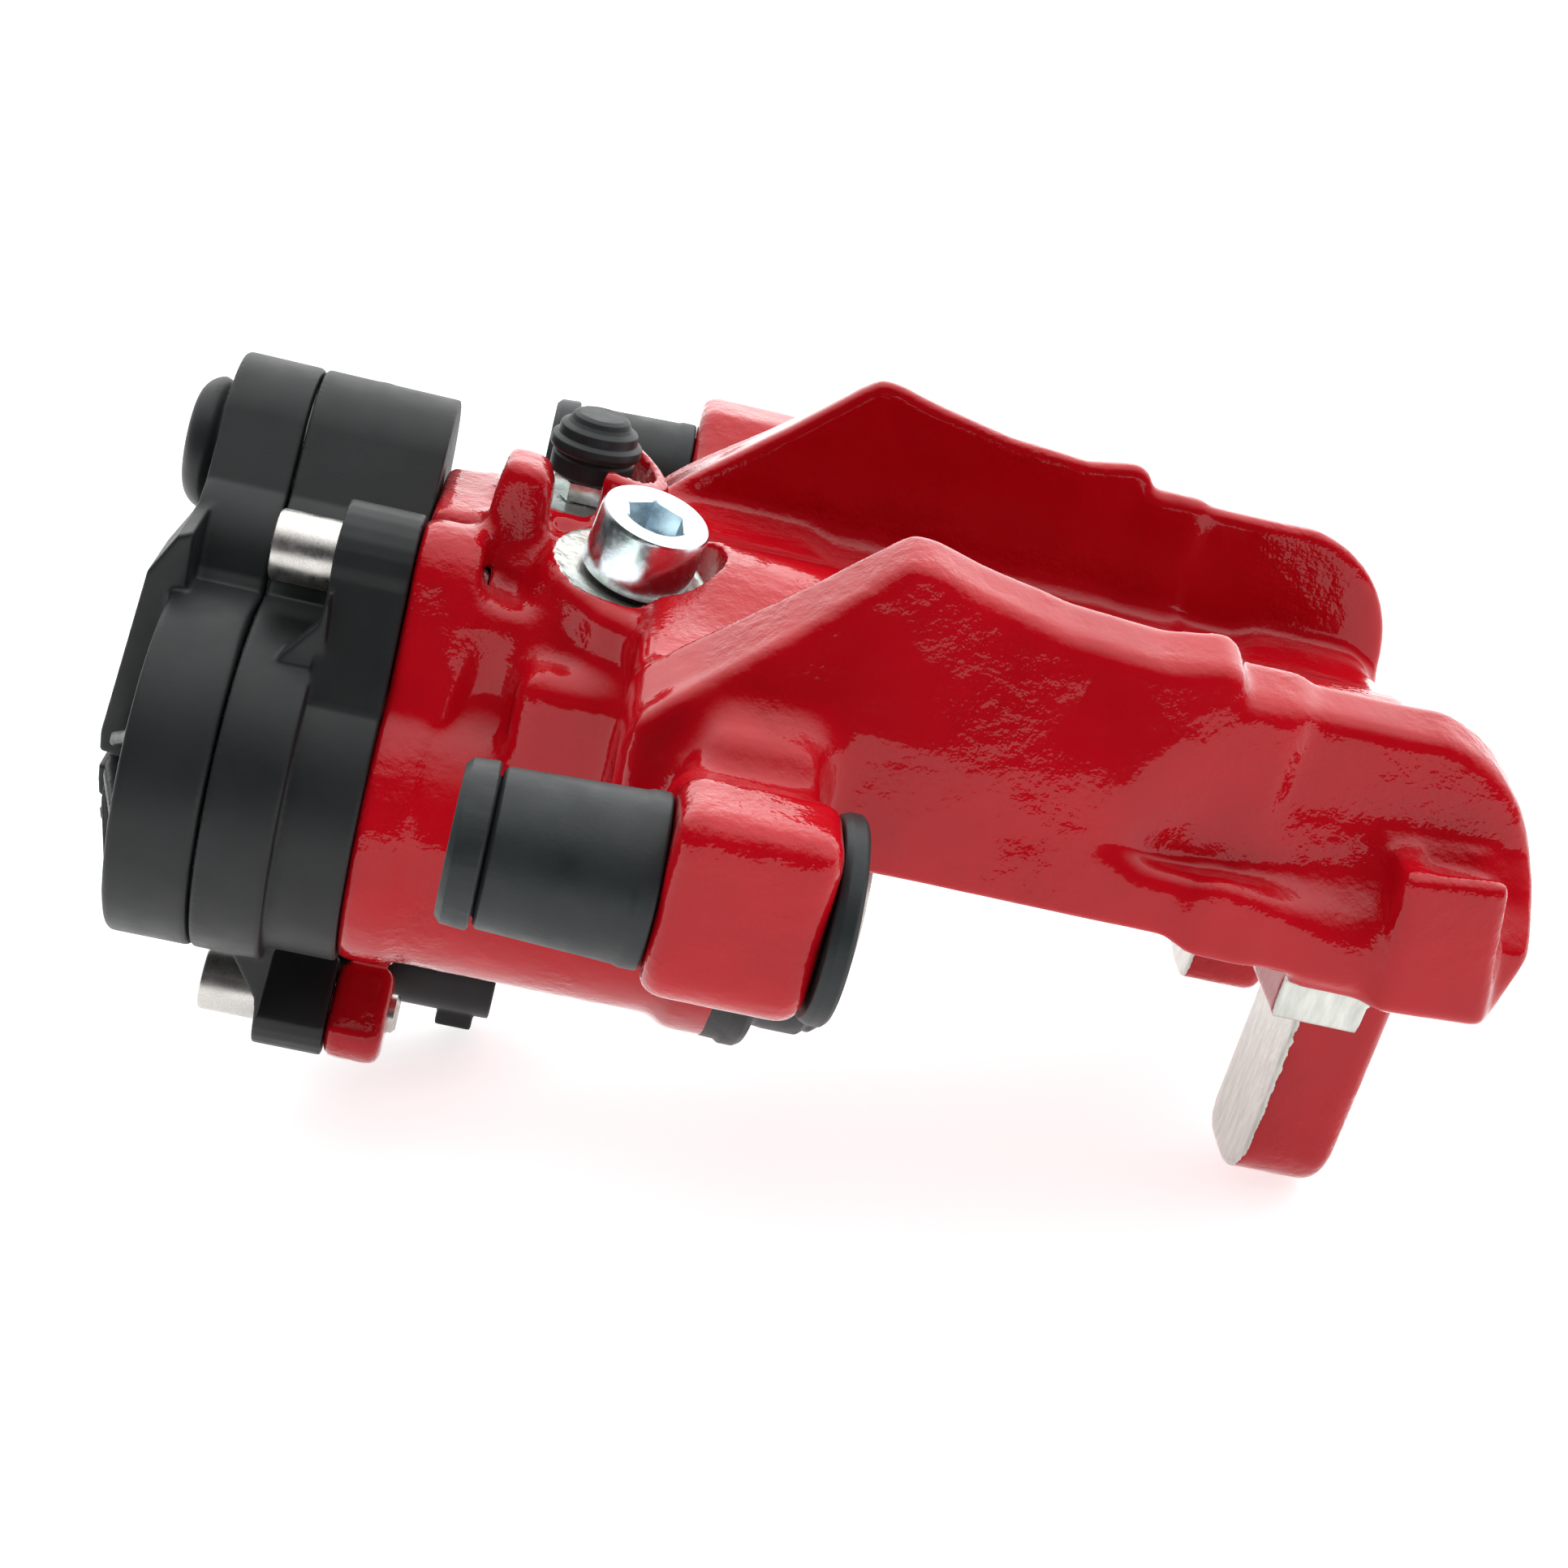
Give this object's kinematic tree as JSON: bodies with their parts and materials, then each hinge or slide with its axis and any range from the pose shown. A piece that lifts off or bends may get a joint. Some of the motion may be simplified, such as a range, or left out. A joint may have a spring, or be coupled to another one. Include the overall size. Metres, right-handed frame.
{
  "type": "brake caliper",
  "caption": "Floating disc-brake caliper with a cast bridge and two fingers, hydraulic piston, rubber guide bushes and a motor-driven parking-brake screw.",
  "frame": {"origin": "centre of the piston's flat pad face, on the piston axis", "axes": "+X along the piston axis from the actuator towards the fingers, +Y tangential towards the motor's side, +Z radially outwards from the wheel axle"},
  "size_m": [0.1942, 0.1728, 0.1175],
  "materials": {
    "red_paint": "thick glossy red coating over a rough casting",
    "steel": "turned steel",
    "zinc": "bright zinc plating",
    "dark_steel": "hardened dark steel",
    "rubber": "matte black rubber",
    "black_plastic": "glass-filled black plastic with a satin sheen",
    "gear_plastic": "natural white gear plastic",
    "contact_metal": "plated contact pins"
  },
  "bodies": {
    "casting": {"caliper_body": "red_paint", "piston_seal": "rubber", "dust_boot": "rubber", "guide_bush_near": "rubber", "guide_bush_far": "rubber", "port_seal": "rubber", "actuator_housing": "black_plastic", "actuator_cover": "black_plastic", "actuator_seal": "rubber", "actuator_screws": "steel", "connector_pins": "contact_metal", "motor_can": "steel", "idler_pin": "steel", "gear_axle": "steel", "ring_gear": "dark_steel", "spindle_seal": "rubber", "thrust_bearing": "steel"},
    "piston": {"piston": "steel"},
    "spindle": {"spindle": "dark_steel", "spindle_clip": "steel", "planet_carrier": "dark_steel"},
    "nut": {"spindle_nut": "dark_steel"},
    "pinion": {"motor_pinion": "dark_steel"},
    "idler": {"idler_gear": "gear_plastic"},
    "drive": {"drive_gear": "gear_plastic"},
    "planet_a": {"planet_gear_a": "dark_steel"},
    "planet_b": {"planet_gear_b": "dark_steel"},
    "planet_c": {"planet_gear_c": "dark_steel"},
    "port_plug": {"port_plug": "zinc"},
    "bleeder_screw": {"bleeder_screw": "zinc"},
    "bleeder_cap": {"bleeder_cap": "rubber"},
    "guide_cap_near": {"guide_cap_near": "rubber"},
    "guide_cap_far": {"guide_cap_far": "rubber"}
  },
  "joints": [
    {"name": "piston_slide", "type": "slide", "parent": "casting", "child": "piston", "axis": [1, 0, 0], "range_m": [-0.002, 0.018]},
    {"name": "spindle_turn", "type": "hinge", "parent": "casting", "child": "spindle", "pos_m": [-0.05, 0, 0], "axis": [1, 0, 0], "range_deg": [0, 1080]},
    {"name": "nut_slide", "type": "slide", "parent": "casting", "child": "nut", "axis": [1, 0, 0], "range_m": [0, 0.009]},
    {"name": "drive_turn", "type": "hinge", "parent": "casting", "child": "drive", "pos_m": [-0.098, 0, 0], "axis": [1, 0, 0], "range_deg": [0, 4320]},
    {"name": "idler_turn", "type": "hinge", "parent": "casting", "child": "idler", "pos_m": [-0.1, 0.02035, 0.02469], "axis": [1, 0, 0], "range_deg": [-8248, 0]},
    {"name": "pinion_turn", "type": "hinge", "parent": "casting", "child": "pinion", "pos_m": [-0.1, 0.0318, 0.03858], "axis": [1, 0, 0], "range_deg": [0, 18270]},
    {"name": "planet_a_turn", "type": "hinge", "parent": "spindle", "child": "planet_a", "pos_m": [-0.092, 0, 0.012], "axis": [1, 0, 0], "range_deg": [-3240, 0]},
    {"name": "planet_b_turn", "type": "hinge", "parent": "spindle", "child": "planet_b", "pos_m": [-0.092, -0.01039, -0.006], "axis": [1, 0, 0], "range_deg": [-3240, 0]},
    {"name": "planet_c_turn", "type": "hinge", "parent": "spindle", "child": "planet_c", "pos_m": [-0.092, 0.01039, -0.006], "axis": [1, 0, 0], "range_deg": [-3240, 0]},
    {"name": "port_plug_turn", "type": "hinge", "parent": "casting", "child": "port_plug", "pos_m": [-0.0436, 0, 0.0434], "axis": [0.1302, -0.1736, 0.9762], "range_deg": [0, 360]},
    {"name": "bleeder_screw_turn", "type": "hinge", "parent": "casting", "child": "bleeder_screw", "pos_m": [-0.0525, 0.025, 0.045], "axis": [0, 0, 1], "range_deg": [0, 270]},
    {"name": "bleeder_cap_pull", "type": "slide", "parent": "bleeder_screw", "child": "bleeder_cap", "axis": [0, 0, 1], "range_m": [0, 0.015]},
    {"name": "guide_cap_near_pull", "type": "slide", "parent": "casting", "child": "guide_cap_near", "axis": [-1, 0, 0], "range_m": [0, 0.012]},
    {"name": "guide_cap_far_pull", "type": "slide", "parent": "casting", "child": "guide_cap_far", "axis": [-1, 0, 0], "range_m": [0, 0.012]}
  ],
  "couplings": [
    {"joint": "nut_slide", "follows": "spindle_turn", "m_per_rad": 0.00047746},
    {"joint": "drive_turn", "follows": "spindle_turn", "ratio": 4},
    {"joint": "idler_turn", "follows": "spindle_turn", "ratio": -7.6364},
    {"joint": "pinion_turn", "follows": "spindle_turn", "ratio": 16.909},
    {"joint": "planet_a_turn", "follows": "spindle_turn", "ratio": -3},
    {"joint": "planet_b_turn", "follows": "spindle_turn", "ratio": -3},
    {"joint": "planet_c_turn", "follows": "spindle_turn", "ratio": -3}
  ]
}
